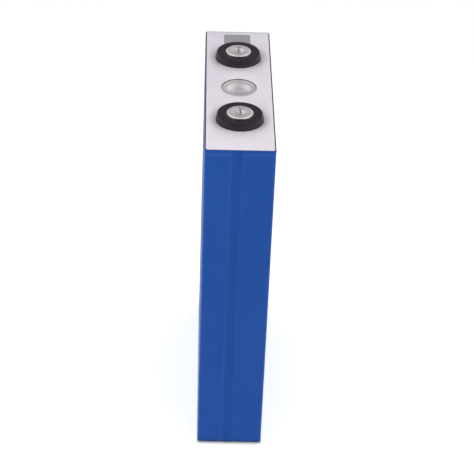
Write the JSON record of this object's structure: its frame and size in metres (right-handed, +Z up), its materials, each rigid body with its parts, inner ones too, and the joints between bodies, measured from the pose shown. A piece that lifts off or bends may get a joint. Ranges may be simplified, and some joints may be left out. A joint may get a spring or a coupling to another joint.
{
  "type": "prismatic battery cell",
  "caption": "Tall flat prismatic lithium cell in blue film, with a white top sheet, silver threaded terminals in black collars and a round recessed vent between them.",
  "frame": {"origin": "centre of the bottom of the bounding box, on the film's bottom face", "axes": "+Z up out of the lid, X across the thickness, Y across the width; the negative terminal and the narrow face seen in the picture are towards -Y"},
  "size_m": [0.0364, 0.1304, 0.2005],
  "materials": {
    "blue_film": "semi-gloss insulating film with a vertical lap on each narrow face",
    "white_sheet": "satin white sheet, faintly lavender",
    "grey_label": "matt mottled grey, blank",
    "black_plastic": "moulded, satin",
    "aluminium": "turned or drawn, satin",
    "vent_aluminium": "pressed, satin",
    "nickel_plate": "nickel plate over copper, satin",
    "copper": null,
    "seal_rubber": "fluoro rubber, matt",
    "natural_polypropylene": "unpigmented, matt",
    "core_bag_film": "thin insulating film",
    "graphite_coating": "graphite coating on foil",
    "iron_phosphate_coating": "iron phosphate coating on foil",
    "separator_film": "white porous film",
    "core_tape": "adhesive tape"
  },
  "bodies": {
    "root": {"bottom_pad": "natural_polypropylene", "bottom_spacer": "natural_polypropylene", "can": "aluminium", "core_a_anode": "graphite_coating", "core_a_anode_tabs": "copper", "core_a_cathode": "iron_phosphate_coating", "core_a_cathode_tabs": "aluminium", "core_a_lower_tape": "core_tape", "core_a_separator_inner": "separator_film", "core_a_separator_outer": "separator_film", "core_a_upper_tape": "core_tape", "core_b_anode": "graphite_coating", "core_b_anode_tabs": "copper", "core_b_cathode": "iron_phosphate_coating", "core_b_cathode_tabs": "aluminium", "core_b_lower_tape": "core_tape", "core_b_separator_inner": "separator_film", "core_b_separator_outer": "separator_film", "core_b_upper_tape": "core_tape", "fill_port_cap": "aluminium", "fill_port_plug": "seal_rubber", "id_label": "grey_label", "insulation_bag": "core_bag_film", "lid": "aluminium", "negative_collector": "copper", "negative_gasket": "seal_rubber", "negative_lower_insulator": "natural_polypropylene", "negative_pole_flange": "copper", "negative_terminal": "nickel_plate", "negative_terminal_ring": "black_plastic", "outer_wrap": "blue_film", "positive_collector": "aluminium", "positive_gasket": "seal_rubber", "positive_lower_insulator": "natural_polypropylene", "positive_pole_flange": "aluminium", "positive_terminal": "aluminium", "positive_terminal_ring": "black_plastic", "top_insulation_sheet": "white_sheet", "vent_disc": "vent_aluminium", "vent_guard": "natural_polypropylene"}
  },
  "joints": []
}
